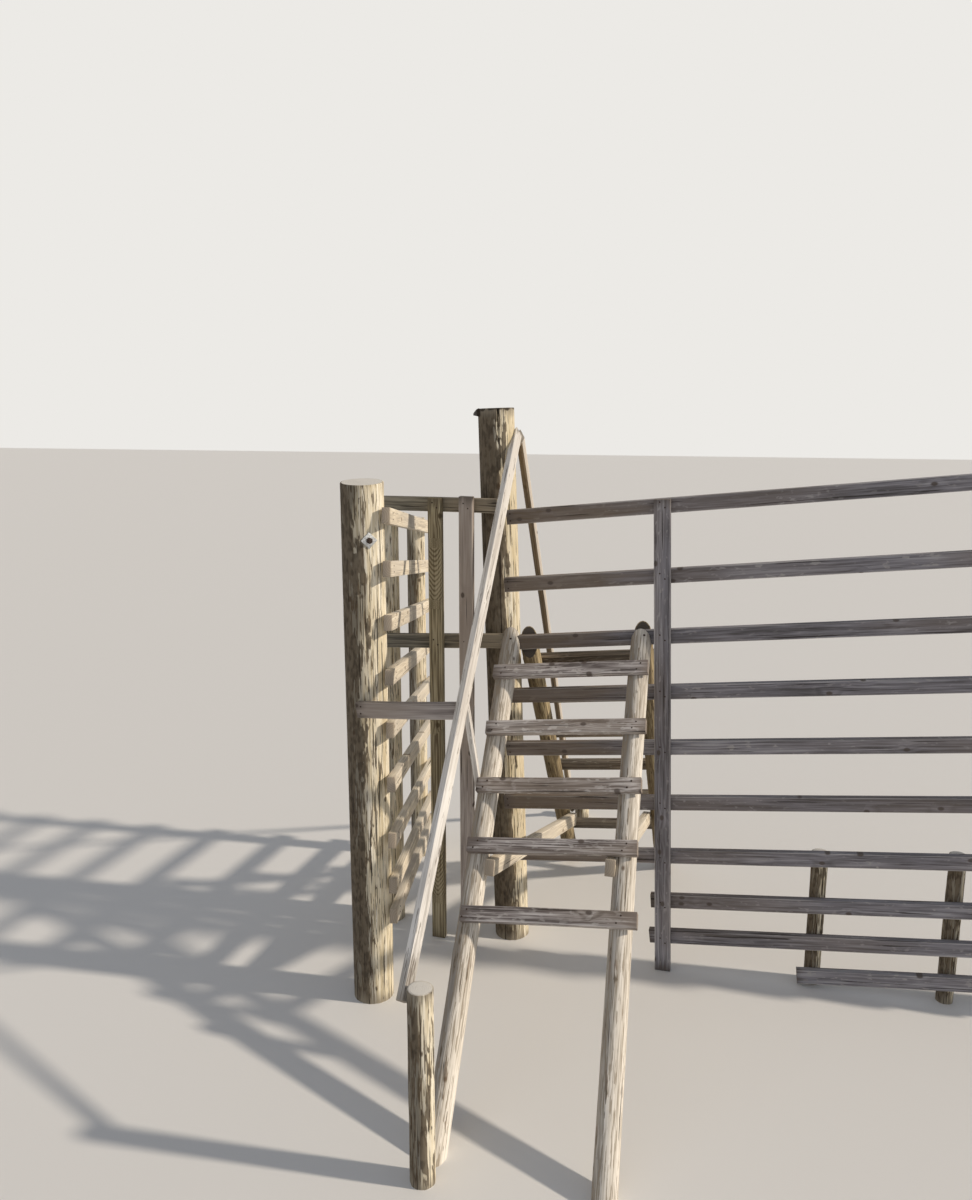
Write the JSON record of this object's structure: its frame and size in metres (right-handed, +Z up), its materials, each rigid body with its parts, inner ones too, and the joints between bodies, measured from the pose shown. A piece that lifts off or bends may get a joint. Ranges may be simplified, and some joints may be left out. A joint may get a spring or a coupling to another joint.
{
  "type": "timber ladder stile over a deer fence",
  "caption": "Double ladder stile of round stringers and nailed treads over a sloping rail fence, with handrails, a tall post and the slatted side fence beside it.",
  "frame": {"origin": "middle of the tall post's foot, on the floor", "axes": "+X along the fence to the right, +Y over the stile to its far side, +Z up"},
  "size_m": [3.8884, 3.7001, 2.9636],
  "materials": {
    "round_post": "peeled round softwood, weathered, with bark flakes",
    "round_stringer": "peeled round softwood, silvered",
    "tread_board": "sawn softwood, silver grey",
    "sawn_rail": "sawn softwood, grey brown",
    "pale_rail": "sawn softwood, sun bleached",
    "handrail_bar": "planed softwood, worn by hands",
    "galvanised_plate": "galvanised"
  },
  "bodies": {
    "root": {"tall_post": "round_post", "end_post": "round_post", "ditch_post_left": "round_post", "ditch_post_right": "round_post", "fence_rails": "sawn_rail", "fence_batten": "sawn_rail", "wing_near_post": "round_post", "wing_far_post": "round_post", "wing_rails": "pale_rail", "wing_bolt": "galvanised_plate", "gate_side_post": "round_post", "panel_rail_top": "sawn_rail", "panel_rail_low": "sawn_rail", "panel_upright_left": "sawn_rail", "panel_upright_right": "sawn_rail", "near_stringer_left": "round_stringer", "near_stringer_right": "round_stringer", "near_tread_1": "tread_board", "near_tread_2": "tread_board", "near_tread_3": "tread_board", "near_tread_4": "tread_board", "near_tread_5": "tread_board", "far_stringer_left": "round_stringer", "far_stringer_right": "round_stringer", "far_tread_1": "tread_board", "far_tread_2": "tread_board", "far_tread_3": "tread_board", "far_tread_4": "tread_board", "far_tread_5": "tread_board", "far_tread_6": "tread_board", "base_tie_left": "pale_rail", "base_tie_right": "pale_rail", "near_handrail": "handrail_bar", "far_handrail": "handrail_bar", "near_stump": "round_post", "far_stump": "round_post", "handrail_brace": "handrail_bar", "tie_rail": "sawn_rail"}
  },
  "joints": []
}
